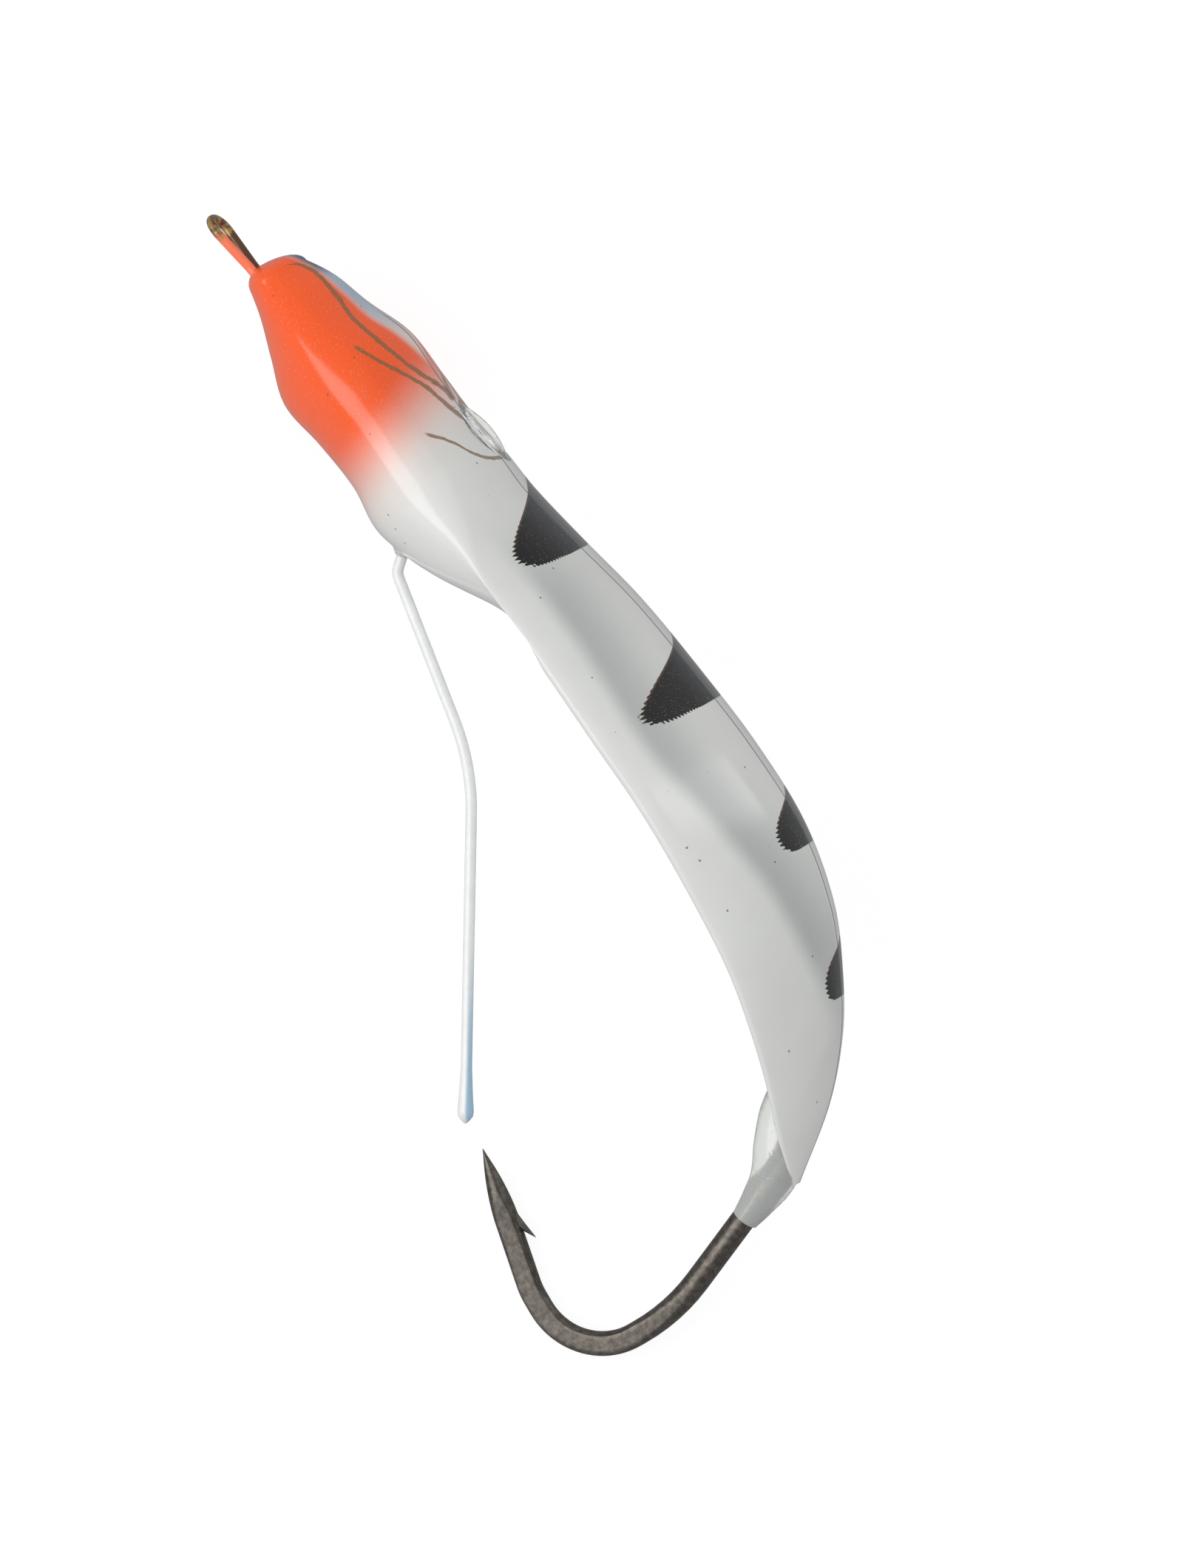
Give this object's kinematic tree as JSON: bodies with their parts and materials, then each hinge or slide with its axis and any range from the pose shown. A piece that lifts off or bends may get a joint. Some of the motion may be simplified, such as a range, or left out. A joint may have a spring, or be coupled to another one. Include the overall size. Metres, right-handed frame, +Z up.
{
  "type": "weedless fishing spoon",
  "caption": "Arched, hollow-bellied casting spoon with a fixed upturned hook, a wire line tie at the nose and a springy weed guard that shields the hook's point.",
  "frame": {"origin": "middle of the line tie's loop", "axes": "+X from the line tie towards the tail and the hook's bend, +Z up with the lure lying on its side, +Y towards the convex ridge"},
  "size_m": [0.0901, 0.0363, 0.0213],
  "materials": {
    "body_lacquer": "pearl white with an orange head, black bars and fine bronze lines under a high gloss clear coat",
    "ballast_brass": "as cast",
    "hook_steel": "dark bronze plating over forged steel",
    "clear_resin": "clear, slightly milky resin",
    "tie_brass": "brass wire with orange overspray",
    "guard_nylon": "white lacquered nylon coating",
    "core_steel": "spring wire",
    "eye_gold": "gold disc with a black pupil",
    "eye_clear": "clear dome"
  },
  "bodies": {
    "lure": {"body_half_near": "body_lacquer", "body_half_far": "body_lacquer", "ballast": "ballast_brass", "hook": "hook_steel", "tail_potting": "clear_resin", "line_tie": "tie_brass", "guard_root": "guard_nylon", "eye_disc": "eye_gold", "eye_lens": "eye_clear"},
    "weed_guard": {"guard_core": "core_steel", "guard_coating": "guard_nylon"}
  },
  "joints": [
    {"name": "guard_flex", "type": "hinge", "parent": "lure", "child": "weed_guard", "pos_m": [0.02741, -0.00102, 0.00047], "axis": [-0.0293, -0.3584, 0.9331], "range_deg": [-4, 30], "stiffness_Nm_per_rad": 0.02}
  ]
}
